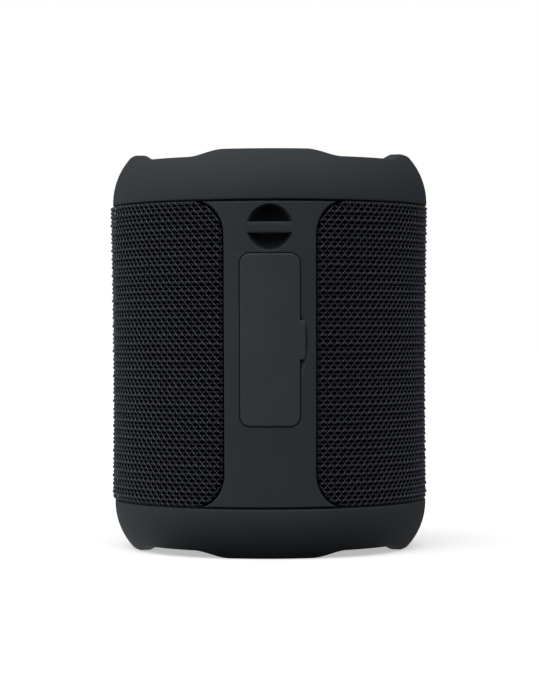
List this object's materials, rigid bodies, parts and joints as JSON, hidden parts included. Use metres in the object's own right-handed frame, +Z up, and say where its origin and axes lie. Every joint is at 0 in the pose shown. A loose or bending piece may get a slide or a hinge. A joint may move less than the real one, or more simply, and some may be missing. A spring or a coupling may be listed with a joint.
{
  "type": "shower speaker",
  "caption": "Cylindrical splash-proof wireless speaker with notched rubber end caps, knitted wrap grille, and a rear spine with strap loop and hinged port cover.",
  "frame": {"origin": "centre of the base plane, on the speaker's axis", "axes": "+Z up along the axis, -Y towards the spine with the strap loop and the port cover, +Y towards the drive unit"},
  "size_m": [0.081, 0.081, 0.1],
  "materials": {
    "soft_touch_cap": "matte soft-touch rubber with a very fine moulded grain",
    "soft_touch_spine": "matte soft-touch rubber",
    "soft_touch_cover": "matte soft-touch rubber",
    "knit_fabric": "open black knit with a diamond mesh",
    "black_abs": "matte moulded ABS",
    "panel_plastic": "fine matte moulded plastic",
    "silicone_key": "matte silicone with raised symbols",
    "seal_foam": "closed-cell seal",
    "circuit_board": "green solder mask",
    "plated_metal": "tin-plated sheet metal",
    "clear_plastic": "clear moulded plastic",
    "black_steel": "black powder coat",
    "zinc_steel": "zinc-plated steel",
    "ferrite": "dark sintered ferrite",
    "amber_film": "amber polyimide film",
    "copper_wire": "enamelled copper winding",
    "black_cone": "pressed pulp with a matte face",
    "surround_rubber": "smooth butyl rubber",
    "spider_cloth": "resin-treated woven cloth",
    "radiator_plastic": "matte moulded plastic",
    "cell_sleeve": "shrink-wrapped cell",
    "red_lead": "insulated wire",
    "grey_lead": "insulated wire",
    "chip_epoxy": "moulded epoxy",
    "capacitor_sleeve": "sleeved aluminium can",
    "ivory_plastic": "nylon",
    "screw_steel": "zinc-plated steel",
    "damping_foam": "open-cell foam"
  },
  "bodies": {
    "speaker_body": {"top_cap": "soft_touch_cap", "bottom_cap": "soft_touch_cap", "rear_spine": "soft_touch_spine", "cover_tether": "soft_touch_cover", "grille_fabric": "knit_fabric", "grille_frame": "black_abs", "housing": "black_abs", "housing_lid": "black_abs", "lid_gasket": "seal_foam", "port_gasket": "seal_foam", "control_panel": "panel_plastic", "key_board": "circuit_board", "tact_switches": "plated_metal", "status_led": "clear_plastic", "light_pipe": "clear_plastic", "microphone": "plated_metal", "driver_gasket": "seal_foam", "driver_basket": "black_steel", "driver_top_plate": "zinc_steel", "driver_magnet": "ferrite", "driver_yoke": "zinc_steel", "driver_surround": "surround_rubber", "driver_spider": "spider_cloth", "driver_trim_ring": "black_abs", "driver_screws": "screw_steel", "radiator_gasket": "seal_foam", "radiator_frame": "black_abs", "radiator_surround": "surround_rubber", "battery": "cell_sleeve", "battery_cradle": "black_abs", "battery_leads": "red_lead", "main_board": "circuit_board", "usb_socket": "plated_metal", "usb_tongue": "black_abs", "aux_jack": "black_abs", "card_slot": "plated_metal", "amplifier_chip": "chip_epoxy", "wireless_module": "plated_metal", "capacitors": "capacitor_sleeve", "power_inductor": "chip_epoxy", "ribbon_connector": "ivory_plastic", "key_ribbon": "amber_film", "speaker_wires": "grey_lead", "top_screws": "screw_steel", "bottom_screws": "screw_steel", "spine_screws": "screw_steel", "damping_foam": "damping_foam"},
    "port_cover": {"port_cover": "soft_touch_cover"},
    "play_button": {"play_button": "silicone_key"},
    "volume_up_button": {"volume_up_button": "silicone_key"},
    "volume_down_button": {"volume_down_button": "silicone_key"},
    "power_button": {"power_button": "silicone_key"},
    "mode_button": {"mode_button": "silicone_key"},
    "driver_cone": {"driver_cone": "black_cone", "dust_cap": "black_cone", "voice_coil_former": "amber_film", "voice_coil": "copper_wire"},
    "radiator": {"radiator_plate": "radiator_plastic", "radiator_weight": "zinc_steel"}
  },
  "joints": [
    {"name": "port_cover_hinge", "type": "hinge", "parent": "speaker_body", "child": "port_cover", "pos_m": [-0.0073, -0.03984, 0.0536], "axis": [0, 0, -1], "range_deg": [0, 110], "deforming": ["cover_tether"]},
    {"name": "play_press", "type": "slide", "parent": "speaker_body", "child": "play_button", "axis": [0, 0, -1], "range_m": [0, 0.0006], "stiffness_N_per_m": 150, "springref_m": -0.0005},
    {"name": "volume_up_press", "type": "slide", "parent": "speaker_body", "child": "volume_up_button", "axis": [0, 0, -1], "range_m": [0, 0.0006], "stiffness_N_per_m": 150, "springref_m": -0.0005},
    {"name": "volume_down_press", "type": "slide", "parent": "speaker_body", "child": "volume_down_button", "axis": [0, 0, -1], "range_m": [0, 0.0006], "stiffness_N_per_m": 150, "springref_m": -0.0005},
    {"name": "power_press", "type": "slide", "parent": "speaker_body", "child": "power_button", "axis": [0, 0, -1], "range_m": [0, 0.0006], "stiffness_N_per_m": 150, "springref_m": -0.0005},
    {"name": "mode_press", "type": "slide", "parent": "speaker_body", "child": "mode_button", "axis": [0, 0, -1], "range_m": [0, 0.0006], "stiffness_N_per_m": 150, "springref_m": -0.0005},
    {"name": "driver_excursion", "type": "slide", "parent": "speaker_body", "child": "driver_cone", "axis": [0, 1, 0], "range_m": [-0.002, 0.002], "stiffness_N_per_m": 300, "deforming": ["driver_surround", "driver_spider"]},
    {"name": "radiator_excursion", "type": "slide", "parent": "speaker_body", "child": "radiator", "axis": [0, 0, 1], "range_m": [-0.0025, 0.0025], "stiffness_N_per_m": 400, "deforming": ["radiator_surround"]}
  ]
}
